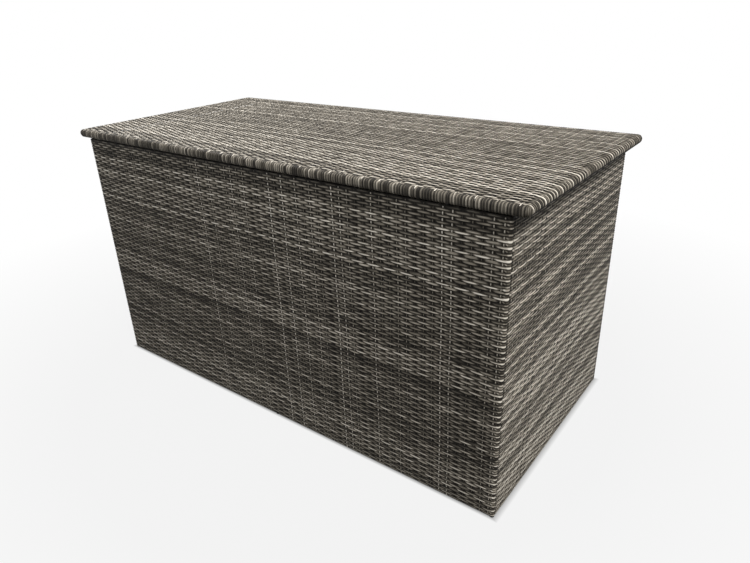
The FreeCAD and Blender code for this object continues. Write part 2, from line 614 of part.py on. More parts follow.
def make_strut(name, side):
    outward = RIGHT * side
    inward = LEFT * side
    top = CLOSED
    tube_low = "stem_reach"
    tube_high = f"({top} - stem_reach - rod_shown - gland_length)"
    node(lean(eye(0, UP), side), f"strut_{name}_cylinder_eye")
    node(lean(eye(top, DOWN), side), f"strut_{name}_rod_eye")
    wall = rod((0, 0, tube_low), UP, "cylinder_radius", f"{tube_high} - {tube_low}")
    bore = rod((0, 0, f"{tube_low} + cylinder_end"), UP, "cylinder_bore", f"{tube_high}")
    node(lean(cut(wall, bore), side), f"strut_{name}_cylinder")
    ring = rod((0, 0, tube_high), UP, "cylinder_radius", "gland_length")
    throat = rod((0, 0, f"{tube_high} - run_past"), UP, "rod_radius + pin_fit",
                 "gland_length + 2 * run_past")
    node(lean(cut(ring, throat), side), f"strut_{name}_gland")
    piston_low = f"({tube_low} + cylinder_end + piston_gap)"
    shaft = rod((0, 0, piston_low), UP, "rod_radius", f"{top} - stem_reach - {piston_low}")
    piston = rod((0, 0, piston_low), UP, "cylinder_bore - pin_fit", "piston_length")
    node(lean(fuse(shaft, piston), side), f"strut_{name}_rod")

    inner_face = f"{side} * ({STRUT_X} - eye_wide / 2 - joint_gap)"
    plate_face = f"({SIDE_INNER} - plate_thick)"
    low_x = f"({side} * ({SIDE_INNER} - plate_thick / 2) - plate_thick / 2)"
    plate = box((low_x, f"{FOOT_Y} - plate_long / 2", f"{FOOT_Z} - tube_wide / 2"),
                ("plate_thick", "plate_long", "tube_wide"))
    plate = soften(plate, RIGHT, "tube_wide / 4")
    stud = rod((inner_face, FOOT_Y, FOOT_Z), outward, "stud_radius",
               f"{plate_face} - {STRUT_X} + eye_wide / 2 + joint_gap")
    head = rod((inner_face, FOOT_Y, FOOT_Z), inward, "stud_head_radius", "stud_head")
    shoulder_face = f"({STRUT_X} + eye_wide / 2 + joint_gap)"
    shoulder = rod((f"{side} * {shoulder_face}", FOOT_Y, FOOT_Z), outward, "stud_head_radius",
                   f"{plate_face} - {shoulder_face}")
    holes = []
    screws = []
    for offset in ("-plate_long / 3", "plate_long / 3"):
        face = (f"{side} * {plate_face}", f"{FOOT_Y} + {offset}", FOOT_Z)
        holes += [rod(face, outward, "screw_radius + hole_gap", "plate_thick + run_past"),
                  sink(face, outward)]
        screws.append(countersunk(face, outward, "plate_thick + screw_bite"))
    node(cut(fuse(plate, stud, head, shoulder), *holes), f"strut_{name}_body_bracket")

    lid_plate = f"({STRUT_X} + eye_wide / 2 + plate_gap)"
    lid_stud = rod((inner_face, HEAD_Y, HEAD_Z), outward, "stud_radius",
                   f"{lid_plate} - open_gap - {STRUT_X} + eye_wide / 2 + joint_gap")
    lid_head = rod((inner_face, HEAD_Y, HEAD_Z), inward, "stud_head_radius", "stud_head")
    node(fuse(lid_stud, lid_head), f"strut_{name}_lid_stud")
    cross_low = f"({LID_FRAME_TOP} - cross_deep)"
    end_bar = f"({HALF_LONG} - cross_end_inset)"
    flange_out = f"({end_bar} + cross_wide / 2)"
    low_x = f"({side} * ({lid_plate} + plate_thick / 2) - plate_thick / 2)"
    web = box((low_x, f"{HEAD_Y} - plate_end_radius", HEAD_Z),
              ("plate_thick", "2 * plate_end_radius", f"{cross_low} - {HEAD_Z}"))
    nose = rod((f"{side} * {lid_plate}", HEAD_Y, HEAD_Z), outward, "plate_end_radius",
               "plate_thick")
    wide = f"({flange_out} - {lid_plate})"
    flange = box((f"({side} * ({lid_plate} + {wide} / 2) - {wide} / 2)",
                  f"{HEAD_Y} - plate_long / 2", f"{cross_low} - plate_thick"),
                 (wide, "plate_long", "plate_thick"))
    flange = soften(flange, UP, "plate_thick")
    holes = []
    lid_screws = []
    for offset in ("-plate_long / 3", "plate_long / 3"):
        face = (f"{side} * {end_bar}", f"{HEAD_Y} + {offset}", f"{cross_low} - plate_thick")
        holes += [rod(face, UP, "screw_radius + hole_gap", "plate_thick + run_past"), sink(face, UP)]
        lid_screws.append(countersunk(face, UP, "plate_thick + screw_bite"))
    node(cut(fuse(web, nose, flange), *holes), f"strut_{name}_lid_bracket")
    return screws, lid_screws


def make_struts():
    body_screws = []
    lid_screws = []
    for name, side in (("left", -1), ("right", 1)):
        body, lid = make_strut(name, side)
        body_screws += body
        lid_screws += lid
    node(group(*body_screws), "strut_body_screws")
    node(group(*lid_screws), "strut_lid_screws")


def check_and_write():
    doc.recompute()
    for thing in doc.Objects:
        bad = [state for state in thing.State if state in ("Invalid", "Error")]
        if bad:
            raise RuntimeError(f"{thing.Name} ({thing.Label}) is {bad}")
    for thing in nodes:
        if thing.Shape.isNull() or not thing.Shape.isValid() or not thing.Shape.Solids:
            raise RuntimeError(f"{thing.Label} has no valid solid")
    os.makedirs("parts", exist_ok=True)
    for thing in nodes:
        thing.Shape.exportStep(f"parts/{thing.Label}.step")
        low = thing.Shape.BoundBox
        print(f"{thing.Label}: {len(thing.Shape.Solids)} solids, "
              f"x {low.XMin:.1f} to {low.XMax:.1f}, y {low.YMin:.1f} to {low.YMax:.1f}, "
              f"z {low.ZMin:.1f} to {low.ZMax:.1f}")


make_panels()
make_floor()
make_small_parts()
make_lid()
make_hinges()
make_struts()
check_and_write()
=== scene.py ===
"""Looks of the woven storage box: cane, frames, hinges and struts, with floor, light and camera."""

import json
import math
from collections import namedtuple

import bmesh
import bpy
import numpy as np
from mathutils import Matrix, Vector


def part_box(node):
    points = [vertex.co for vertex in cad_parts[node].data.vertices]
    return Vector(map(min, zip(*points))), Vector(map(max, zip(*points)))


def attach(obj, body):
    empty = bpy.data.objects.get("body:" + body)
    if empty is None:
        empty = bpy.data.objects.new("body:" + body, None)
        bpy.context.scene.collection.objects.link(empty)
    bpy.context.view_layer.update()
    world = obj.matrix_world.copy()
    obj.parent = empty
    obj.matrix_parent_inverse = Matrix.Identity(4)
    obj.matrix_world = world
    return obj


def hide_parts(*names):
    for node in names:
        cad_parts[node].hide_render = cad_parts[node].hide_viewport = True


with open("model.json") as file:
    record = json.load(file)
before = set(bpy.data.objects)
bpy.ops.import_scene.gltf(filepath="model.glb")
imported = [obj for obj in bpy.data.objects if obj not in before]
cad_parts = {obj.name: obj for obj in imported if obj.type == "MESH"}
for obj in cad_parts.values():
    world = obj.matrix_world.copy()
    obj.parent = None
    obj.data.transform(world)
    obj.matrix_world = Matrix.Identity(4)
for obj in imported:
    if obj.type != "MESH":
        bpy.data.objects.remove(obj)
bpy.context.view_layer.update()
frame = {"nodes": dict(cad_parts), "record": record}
MM = 0.001

# Flat cane: 7 mm strips on 7.1 mm rows, domed on the face. The bed is how deep the middle of
# a strip lies under the cloth's outer face, before the wave lifts it.
ROW_PITCH, LID_ROW_PITCH = 7.14 * MM, 7.4 * MM
CANE_THICK, CANE_DOME = 0.7 * MM, 1.2 * MM
STAKE_WIDE, STAKE_THICK = 4.4 * MM, 0.7 * MM
STAKE_OVER, STAKE_UNDER = 1.3 * MM, -0.3 * MM
BED = 0.6 * MM
WRAPPED_WIDE = 6.9 * MM
TAIL = 20 * MM
# The wave and the shown width go from the stake that a row passes over to the next one, which it
# passes under. The crest catches the light, and the dive is in shade; this light is also painted
# into the cane's colour, a painted highlight on the crest and painted shade in the dive.
WAVE_SHARE = (0, 0.5, 0.84, 1)
WAVE_RISE = (2.4 * MM, 1.9 * MM, -0.5 * MM, -1.4 * MM)
WAVE_WIDE = (7.7 * MM, 7.7 * MM, 9.0 * MM, 10.0 * MM)
WAVE_PAINTED_LIGHT = (1, 0.9, 0.1, 0)
# Painted shade at the edges of each strip, and how much painted highlight the stakes between rows,
# the rail windings and the lid windings get
EDGE_PAINTED_LIGHT = 0.15
STAKE_PAINTED_LIGHT = 0.8
RAIL_PAINTED_LIGHT = 0.3
WINDING_PAINTED_LIGHT = 0.6
# Painted light where a row turns round an end tube, first of one that stands out, which gets a
# painted highlight, then of one that lies low, which gets less
WRAP_PAINTED_LIGHT = (1.35, 0.6)
TURN_STEPS = 8
LIT_STEPS = 4
# How unruled the weave is: the spread of a row's dives and tones, and the slow drift of rows
# and stakes, with the runs over which it comes and goes
DIVE_SPREAD = 1.1 * MM
BRICK_SPREAD = 0.03
DRIFT = 0.9 * MM
ROW_DRIFT_RUNS = (67 * MM, 90 * MM)
STAKE_DRIFT_RUNS = (58 * MM, 110 * MM)
HELD_BY_END, HELD_BY_RAIL = 60 * MM, 40 * MM

# half is half the flat run, high the height over all rows, stake_half where the outer stakes stand,
# and bend the radius of the turn round the end tube, 0 where a row has none. pale scales the face's
# painted light, set face by face, which makes its crests paler and its dives darker, relief the
# share of the wave that the face keeps, and even how evenly the painted light falls on a strip from
# crest to dive.
Cloth = namedtuple("Cloth", "name body node turn origin half high rows stakes stake_half bend "
                   "pale relief even")


def pitch_of(cloth):
    return cloth.high / cloth.rows


def gap_of(cloth):
    return 2 * cloth.stake_half / (cloth.stakes - 1)


def wall_cloths():
    """The four walls' cloths, each with its outer face at y = 0, facing -Y, before its turn."""
    low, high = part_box("front_weave")
    tall = high.z - low.z
    bend = (high.y - low.y) / 2
    long_half = high.x - bend
    side_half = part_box("right_weave")[1].y
    rows = round(tall / ROW_PITCH)
    edge = 15 * MM
    # The painted light, pale and even, is set apart for the long walls, the side walls and the lid
    long_wall = dict(half=long_half, high=tall, rows=rows, stakes=63, stake_half=high.x - edge,
                     bend=bend, pale=0.96, relief=1, even=0.32)
    side_wall = dict(half=side_half, high=tall, rows=rows, stakes=32,
                     stake_half=side_half - edge / 2, bend=0, pale=1.2, relief=0.55, even=0.75)
    quarter = math.pi / 2
    return [
        Cloth("front", "box", "front_weave", 0, (0, low.y, low.z), **long_wall),
        Cloth("back", "box", "back_weave", 2 * quarter, (0, -low.y, low.z), **long_wall),
        Cloth("left", "box", "left_weave", -quarter, (low.x, 0, low.z), **side_wall),
        Cloth("right", "box", "right_weave", quarter, (high.x, 0, low.z), **side_wall)]


def lid_cloth():
    """The lid's cloth, which stands up like a wall until it is laid down, front edge first."""
    low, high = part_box("lid_weave")
    bend = (high.z - low.z) / 2
    deep = high.y - low.y
    edge = 25 * MM
    return Cloth("lid", "lid", "lid_weave", 0, (0, low.y, high.z), half=high.x - bend, high=deep,
                 rows=round(deep / LID_ROW_PITCH), stakes=65, stake_half=high.x - edge,
                 bend=bend, pale=1.34, relief=0.85, even=0)


def placed(cloth):
    """Where a cloth made upright at the origin goes."""
    if cloth.name == "lid":
        return Matrix.Translation(cloth.origin) @ Matrix.Rotation(-math.pi / 2, 4, "X")
    return Matrix.Translation(cloth.origin) @ Matrix.Rotation(cloth.turn, 4, "Z")


def station(across, out, along, origin, wide):
    """A place that a strip's outline passes through: x is its width, y its thickness."""
    columns = [Vector(across) * wide, Vector(out), Vector(along), Vector(origin)]
    made = Matrix.Identity(4)
    for i, column in enumerate(columns):
        for j in range(3):
            made[j][i] = column[j]
    return made


def outline(dome, thick):
    """End shape of a strip: domed face, square edges drawn in a little, flat back."""
    return [(-0.5, 0), (0, dome), (0.5, 0), (0.46, -thick), (-0.46, -thick)]


def lay(bm, stations, shape, lights=None):
    """Draws a strip's outline through its stations and closes both ends. Its own attribute paints
    light into the colour: how far each point catches the light, a painted highlight most along the
    ridge of the dome and painted shade at its edges, by the station."""
    ridge = bm.verts.layers.float.get("ridge") or bm.verts.layers.float.new("ridge")
    crest = bm.verts.layers.float.get("crest") or bm.verts.layers.float.new("crest")
    lights = lights or [1] * len(stations)
    made = bmesh.ops.create_circle(bm, cap_ends=True, radius=1, segments=len(shape))
    for vert, (across, out) in zip(made["verts"], shape):
        vert.co = stations[0] @ Vector((across, out, 0))
        vert[ridge] = 1 if out > 0 else EDGE_PAINTED_LIGHT
        vert[crest] = vert[ridge] * lights[0]
    edges = list(made["verts"][0].link_faces[0].edges)
    for before, after, light in zip(stations, stations[1:], lights[1:]):
        grown = bmesh.ops.extrude_edge_only(bm, edges=edges)["geom"]
        verts = [part for part in grown if isinstance(part, bmesh.types.BMVert)]
        front = set(verts)
        edges = [part for part in grown if isinstance(part, bmesh.types.BMEdge)
                 and part.verts[0] in front and part.verts[1] in front]
        bmesh.ops.transform(bm, matrix=after @ before.inverted(), verts=verts)
        for vert in verts:
            vert[crest] = vert[ridge] * light
    bmesh.ops.contextual_create(bm, geom=edges)


def repeat(bm, copies, shift):
    """Adds shifted copies of all that the mesh holds."""
    if copies > 0:
        bmesh.ops.spin(bm, geom=bm.verts[:] + bm.edges[:] + bm.faces[:], cent=(0, 0, 0),
                       axis=(0, 0, 1), dvec=shift, angle=0, steps=copies, use_duplicate=True)


def finish_mesh(bm, name, body, place=None):
    """Makes the piece from the mesh, in its place, riding on its body."""
    if place is not None:
        bmesh.ops.transform(bm, matrix=place, verts=bm.verts[:])
    bmesh.ops.recalc_face_normals(bm, faces=bm.faces[:])
    for face in bm.faces:
        face.smooth = True
    mesh = bpy.data.meshes.new(name)
    bm.to_mesh(mesh)
    bm.free()
    mesh.set_sharp_from_angle(angle=math.radians(48))
    piece = bpy.data.objects.new(name, mesh)
    bpy.context.scene.collection.objects.link(piece)
    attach(piece, body)
    return piece


def points_of(mesh):
    points = np.empty(len(mesh.vertices) * 3, np.float32)
    mesh.vertices.foreach_get("co", points)
    return points.reshape(-1, 3)


def upright_points(piece, place):
    """The mesh's points as they were before the cloth stood in its place."""
    back = place.inverted()
    return points_of(piece.data) @ np.array(back.to_3x3()).T + np.array(back.translation)


def put_back(piece, local, place):
    """Moves the mesh's points to where these say, given before the cloth stood in its place."""
    moved = local @ np.array(place.to_3x3()).T + np.array(place.translation)
    piece.data.vertices.foreach_set("co", moved.astype(np.float32).ravel())


def paint(piece, tones, index, more=0):
    """Gives each strip its own tone, as an attribute that the cane's material reads."""
    mesh = piece.data
    tone = mesh.attributes.new("tone", "FLOAT", "POINT")
    values = np.asarray(tones)[np.clip(index, 0, len(tones) - 1)] + more
    tone.data.foreach_set("value", values.astype(np.float32))


def brick_tones(cloth, local, seed):
    """Each stretch of a row between two dives is a little lighter or darker than the next."""
    chance = np.random.default_rng(seed)
    tones = chance.normal(0, BRICK_SPREAD, (cloth.rows, cloth.stakes + 2))
    row = np.clip((local[:, 2] / pitch_of(cloth)).astype(int), 0, cloth.rows - 1)
    stake = np.rint((local[:, 0] + cloth.stake_half) / gap_of(cloth)).astype(int) + 1
    return tones[row, np.clip(stake, 0, cloth.stakes + 1)]


def loosened(cloth, local, seed, rows_only):
    """Nothing woven by hand is ruled: each row's dives sit a little to one side, and rows and
    stakes drift together by under a millimetre. Along a rail the cloth is pulled flat."""
    moved = local.copy()
    x, z = local[:, 0], local[:, 2]
    to_rail = np.minimum(z, cloth.high - z)
    inside = np.clip((cloth.half - np.abs(x)) / HELD_BY_END, 0, 1)
    inside *= np.clip(to_rail / HELD_BY_RAIL, 0, 1)
    if rows_only:
        aside = np.random.default_rng(seed).normal(0, DIVE_SPREAD, cloth.rows)
        row = np.clip((z / pitch_of(cloth)).astype(int), 0, cloth.rows - 1)
        moved[:, 0] += inside * aside[row]
    face_deep = 4 * MM
    on_face = (np.abs(x) < cloth.half) & (local[:, 1] < face_deep)
    flatter = np.interp(to_rail / pitch_of(cloth), (0, 1, 2.5), (0.15, 0.3, cloth.relief))
    moved[:, 1] = BED + (local[:, 1] - BED) * np.where(on_face, flatter, 1)
    phase = cloth.stakes
    run, sway = ROW_DRIFT_RUNS
    moved[:, 2] += inside * DRIFT * np.sin(x / run + phase + 2 * np.sin(z / sway))
    run, sway = STAKE_DRIFT_RUNS
    moved[:, 0] += inside * DRIFT * np.sin(z / run + phase + 2 * np.sin(x / sway))
    return moved


def reel_tones(count, seed, light=(), light_tone=0.36, base=0.2, paler=0):
    """A tone for each strip: those in light come from the light reel, the others from the grey one,
    to which painted light may be added, paler at the first strip and less so towards the last."""
    base_spread, light_spread, darkest = 0.05, 0.06, 0.02
    chance = np.random.default_rng(seed)
    tones = base + chance.normal(0, base_spread, count) + paler * np.linspace(1, 0, count)
    for index in light:
        tones[index] = light_tone + chance.normal(0, light_spread)
    return np.clip(tones, darkest, 1)


def scattered(count, share, seed):
    """Strips from the light reel, in short runs, as a weaver joins one reel to the next."""
    chance = np.random.default_rng(seed)
    chosen = set()
    while len(chosen) < share * count:
        start = int(chance.integers(0, count))
        chosen.update(range(start, min(count, start + int(chance.integers(1, 3)))))
    return sorted(chosen)


def wave(share):
    """Rise, shown width and painted light of a row, by its share of the way from crest to dive."""
    return [np.interp(share, WAVE_SHARE, given) for given in (WAVE_RISE, WAVE_WIDE, WAVE_PAINTED_LIGHT)]


def row_stations(cloth, height, phase):
    """One row from end to end: round an end tube or tucked in, over and under the stakes."""
    up, outward, along = (0, 0, 1), (0, -1, 0), (1, 0, 0)
    gap = gap_of(cloth)
    fitted = pitch_of(cloth) / ROW_PITCH
    wrapped_wide = WRAPPED_WIDE * fitted
    flat = [station(up, outward, along, (-cloth.half, BED, height), wrapped_wide)]
    lights = [1]
    for k in range(cloth.stakes):
        over = (k + phase) % 2 == 0
        shares = (0, 0.5, 0.84) if over else (0, 0.16, 0.5)
        if k == cloth.stakes - 1:
            shares = (0,)
        for share in shares:
            rise, wide, light = wave(share if over else 1 - share)
            spot = (-cloth.stake_half + (k + share) * gap, BED - rise, height)
            flat.append(station(up, outward, along, spot, wide * fitted))
            # Painted light along the row: a painted highlight on the crest and painted shade in the
            # dive, scaled for the face
            lights.append((cloth.even + (1 - cloth.even) * light) * cloth.pale)
    flat.append(station(up, outward, along, (cloth.half, BED, height), wrapped_wide))
    lights.append(1)
    if not cloth.bend:
        # Where a row is tucked in, its ends get painted shade
        tuck, reach = 4 * MM, cloth.half + 0.5 * MM
        ends = [station(up, outward, along, (side * reach, tuck, height), WRAPPED_WIDE)
                for side in (-1, 1)]
        return [ends[0]] + flat + [ends[1]], [0] + lights + [0]
    radius = cloth.bend - BED
    turns = []
    for side in (-1, 1):
        middle = Vector((side * cloth.half, cloth.bend, height))
        arc = []
        for step in range(1, TURN_STEPS + 1):
            angle = side * math.pi * step / TURN_STEPS
            out = Vector((math.sin(angle), -math.cos(angle), 0))
            run = Vector((math.cos(angle), math.sin(angle), 0))
            arc.append(station(up, out, run, middle + radius * out, wrapped_wide))
        tail = Vector((side * (cloth.half - TAIL), cloth.bend + radius, height))
        arc.append(station(up, (0, 1, 0), (-1, 0, 0), tail, wrapped_wide))
        turns.append(arc)
    # Painted light: a row that ends over its last stake stands out as it turns and gets a painted
    # highlight, the next one lies lower and gets less, and the seam behind them gets painted shade
    wrap_painted_light = []
    for last in (0, cloth.stakes - 1):
        shown = WRAP_PAINTED_LIGHT[(last + phase) % 2]
        wrap_painted_light.append([shown] * LIT_STEPS + [0] * (len(turns[0]) - LIT_STEPS))
    return turns[0][::-1] + flat + turns[1], wrap_painted_light[0][::-1] + lights + wrap_painted_light[1]


def make_rows(cloth, first, count):
    """A block of rows, an even count, the first of them over the first stake or not."""
    bm = bmesh.new()
    pitch = pitch_of(cloth)
    shape = outline(CANE_DOME, CANE_THICK)
    for row in (first, first + 1):
        stations, lights = row_stations(cloth, (row + 0.5) * pitch, row % 2)
        lay(bm, stations, shape, lights)
    repeat(bm, count // 2 - 1, (0, 0, 2 * pitch))
    for vert in bm.verts:
        vert.co.z = min(max(vert.co.z, 0), cloth.high)
    return bm


def make_stakes(cloth):
    """The upright strips, each over every second row."""
    bm = bmesh.new()
    gap = gap_of(cloth)
    shape = outline(CANE_DOME / 2, STAKE_THICK)
    middle = (STAKE_OVER + STAKE_UNDER) / 2
    for k in (0, 1):
        x = -cloth.stake_half + k * gap
        places, lights = [], []
        for row in range(cloth.rows):
            over = (k + row) % 2
            rise = STAKE_OVER if over else STAKE_UNDER
            # Painted light on a stake: a painted highlight where it passes over a row, painted
            # shade where it passes under
            for share, lift, light in ((0, middle, STAKE_PAINTED_LIGHT), (0.5, rise, over)):
                spot = (x, BED - lift, (row + share) * pitch_of(cloth))
                places.append(station((-1, 0, 0), (0, -1, 0), (0, 0, 1), spot, STAKE_WIDE))
                lights.append(light)
        lay(bm, places, shape, lights)
    odd = cloth.stakes % 2
    repeat(bm, cloth.stakes // 2 - 1 + odd, (2 * gap, 0, 0))
    if odd:
        beyond = cloth.stake_half + gap / 2
        extra = [vert for vert in bm.verts if vert.co.x > beyond]
        bmesh.ops.delete(bm, geom=extra, context="VERTS")
    return bm


def weave(cloth, row_tones, stake_tones, across_rows, across_stakes):
    """A whole cloth: rows in two blocks and its stakes, standing for its CAD skin."""
    place = placed(cloth)
    lower = cloth.rows // 4 * 2
    for part, first, count in (("low", 0, lower), ("high", lower, cloth.rows - lower)):
        bm = make_rows(cloth, first, count)
        piece = finish_mesh(bm, f"{cloth.name}_rows_{part}", cloth.body, place)
        local = upright_points(piece, place)
        paint(piece, row_tones, (local[:, 2] / pitch_of(cloth)).astype(int),
              brick_tones(cloth, local, cloth.stakes + first))
        put_back(piece, loosened(cloth, local, cloth.rows + first, True), place)
        dress(piece, cane[across_rows], "grey_cane", cloth.node)
    piece = finish_mesh(make_stakes(cloth), f"{cloth.name}_stakes", cloth.body, place)
    local = upright_points(piece, place)
    index = np.rint((local[:, 0] + cloth.stake_half) / gap_of(cloth)).astype(int)
    paint(piece, stake_tones, index)
    put_back(piece, loosened(cloth, local, 0, False), place)
    dress(piece, cane[across_stakes], "grey_cane", cloth.node)


def rail_winding(cloth, across):
    """Cane wound over the top and bottom rails and down their inner side."""
    count = round(2 * cloth.half / ROW_PITCH)
    pitch = 2 * cloth.half / count
    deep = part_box("front_weave")[1].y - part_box("front_weave")[0].y
    place = placed(cloth)
    round_off = 5 * MM
    radius = round_off - BED
    end_drop = TAIL + 2 * MM
    for edge, sign, level in (("top", 1, cloth.high), ("foot", -1, 0)):
        bm = bmesh.new()
        places = []
        x = -cloth.half + pitch / 2
        for middle, angles in ((round_off, (30, 60, 90)), (deep - round_off, (90, 135, 180))):
            for degrees in angles:
                turn = math.radians(degrees)
                out = Vector((0, -math.cos(turn), sign * math.sin(turn)))
                along = Vector((0, math.sin(turn), sign * math.cos(turn)))
                centre = Vector((x, middle, level - sign * round_off))
                places.append(station((sign, 0, 0), out, along, centre + radius * out,
                                      WRAPPED_WIDE))
        foot = Vector((x, deep - BED, level - sign * end_drop))
        places.append(station((sign, 0, 0), (0, 1, 0), (0, 0, -sign), foot, WRAPPED_WIDE))
        # The rail winding gets a weak painted highlight along its ridge
        lay(bm, places, outline(CANE_DOME / 2, CANE_THICK), [RAIL_PAINTED_LIGHT] * len(places))
        repeat(bm, count - 1, (pitch, 0, 0))
        piece = finish_mesh(bm, f"{cloth.name}_{edge}_rail_winding", cloth.body, place)
        local = upright_points(piece, place)
        tones = reel_tones(count, len(cloth.name) * 7 + sign, scattered(count, LIGHT_SHARE, count))
        paint(piece, tones, ((local[:, 0] + cloth.half) / pitch).astype(int))
        dress(piece, cane[across], "grey_cane", cloth.node)


def squared(angle, radius):
    """A point, its outward and its forward direction on a tube that is a little square, from
    its top: pulled tight, the strips lie flatter on the face than a round tube would show."""
    power = 3.2
    sine, cosine = math.sin(angle), math.cos(angle)
    reach = radius / (abs(sine) ** power + abs(cosine) ** power) ** (1 / power)
    out = Vector((math.copysign(abs(sine * reach) ** (power - 1), sine),
                  math.copysign(abs(cosine * reach) ** (power - 1), cosine))).normalized()
    return (reach * sine, reach * cosine), out, Vector((out.y, -out.x))


def lid_winding(cloth, name, node, side, seed):
    """Cane wound round a lid tube between its corners, and fanned over each corner knob."""
    low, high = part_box(node)
    radius = cloth.bend - BED
    middle = Vector((0, low.y if side > 0 else high.y, cloth.origin[2] - cloth.bend))
    count = round(2 * cloth.half / (7.2 * MM))
    pitch = 2 * cloth.half / count
    shape = outline(CANE_DOME / 2, CANE_THICK)
    bm = bmesh.new()
    places = []
    start = middle + Vector((-cloth.half + pitch / 2, 0, 0))
    steps, way_round = 16, math.radians(240)
    for step in range(steps + 1):
        angle = way_round * step / steps
        spot, out, along = squared(angle, radius)
        spot, out, along = (Vector((0, side * way[0], way[1])) for way in (spot, out, along))
        places.append(station((-side, 0, 0), out, along, start + spot, WRAPPED_WIDE))
    # The lid winding gets a painted highlight along its ridge
    lay(bm, places, shape, [WINDING_PAINTED_LIGHT] * len(places))
    repeat(bm, count - 1, (pitch, 0, 0))
    fans, overlap, narrowest = 4, 1.25, 1.5 * MM
    steps = 12
    for end in (-1, 1):
        centre = middle + Vector((end * cloth.half, 0, 0))
        for fan in range(fans):
            swing = math.radians(90) * (fan + 0.5) / fans
            level_out = Vector((end * math.sin(swing), side * math.cos(swing), 0))
            across = Vector((0, 0, 1)).cross(level_out)
            places = []
            for step in range(1, steps):
                angle = math.pi * step / steps
                out = level_out * math.sin(angle) + Vector((0, 0, math.cos(angle)))
                along = level_out * math.cos(angle) - Vector((0, 0, math.sin(angle)))
                wide = radius * math.sin(angle) * math.pi / 2 / fans * overlap
                places.append(station(-across, out, along, centre + radius * out,
                                      max(narrowest, wide)))
            # The fans get the same painted highlight
            lay(bm, places, shape, [WINDING_PAINTED_LIGHT] * len(places))
    piece = finish_mesh(bm, f"lid_{name}_winding", "lid")
    points = points_of(piece.data)
    tones = reel_tones(count + 2 * fans, seed, scattered(count, 0.42, seed), 0.34, 0.21)
    paint(piece, tones, ((points[:, 0] + cloth.half) / pitch + fans).astype(int))
    dress(piece, cane["x"], "grey_cane", node)


def stake_ends(cloth):
    """Every second stake of the lid ends over the front tube, on top of the winding."""
    twice = 2 * gap_of(cloth)
    over_winding, run_in, start_lift, tucked = 0.4 * MM, 5 * MM, 0.3 * MM, 0.9 * MM
    radius = cloth.bend + over_winding
    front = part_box("lid_weave")[0].y
    centre = Vector((-cloth.stake_half, front, cloth.origin[2] - cloth.bend))
    bm = bmesh.new()
    start = centre + Vector((0, run_in, radius + start_lift))
    places = [station((1, 0, 0), (0, 0, 1), (0, -1, 0), start, STAKE_WIDE)]
    turns = (0, 15, 30, 45, 60)
    for degrees in turns:
        angle = math.radians(degrees)
        out = Vector((0, -math.sin(angle), math.cos(angle)))
        along = Vector((0, -math.cos(angle), -math.sin(angle)))
        reach = radius - (tucked if degrees == turns[-1] else 0)
        places.append(station((1, 0, 0), out, along, centre + reach * out, STAKE_WIDE))
    # The stake ends get the full painted highlight along their ridge and painted shade at their
    # edges
    lay(bm, places, outline(CANE_DOME / 2, STAKE_THICK))
    repeat(bm, (cloth.stakes - 1) // 2, (twice, 0, 0))
    piece = finish_mesh(bm, "lid_stake_ends", "lid")
    points = points_of(piece.data)
    tones = np.random.default_rng(5).uniform(0.25, 0.5, (cloth.stakes + 1) // 2)
    paint(piece, tones, np.rint((points[:, 0] + cloth.stake_half) / twice).astype(int))
    dress(piece, cane["x"], "grey_cane", "lid_front_binding")


def linear(code):
    """An sRGB hex colour as linear red, green, blue and alpha."""
    parts = [int(code[i:i + 2], 16) / 255 for i in (1, 3, 5)]
    return [p / 12.92 if p <= 0.04045 else ((p + 0.055) / 1.055) ** 2.4 for p in parts] + [1]


def add(tree, kind, inputs=None, **settings):
    """Adds a node with its settings. An input is a number, a colour or another node's output."""
    made = tree.nodes.new(kind)
    for name, setting in settings.items():
        setattr(made, name, setting)
    for name, given in (inputs or {}).items():
        if isinstance(given, bpy.types.NodeSocket):
            tree.links.new(given, made.inputs[name])
        else:
            made.inputs[name].default_value = given
    return made


def new_finish(name, **shader):
    """A material with its Principled shader, whose plain values are set on its own sockets."""
    material = bpy.data.materials.new(name)
    material.use_nodes = True
    tree = material.node_tree
    principled = tree.nodes["Principled BSDF"]
    for socket, setting in shader.items():
        principled.inputs[socket.replace("_", " ")].default_value = setting
    return material, tree, principled


def ramp(tree, factor, stops):
    """Colours by a factor, from pairs of a position and an sRGB code."""
    made = add(tree, "ShaderNodeValToRGB", {"Fac": factor})
    colours = made.color_ramp.elements
    while len(colours) < len(stops):
        colours.new(0.5)
    for element, (position, code) in zip(colours, stops):
        element.position = position
        element.color = linear(code)
    return made.outputs["Color"]


def object_scaled(tree, scale):
    """Object coordinates, scaled for each axis in cycles per metre."""
    place = add(tree, "ShaderNodeTexCoord").outputs["Object"]
    return add(tree, "ShaderNodeMapping", {"Vector": place, "Scale": scale}).outputs["Vector"]


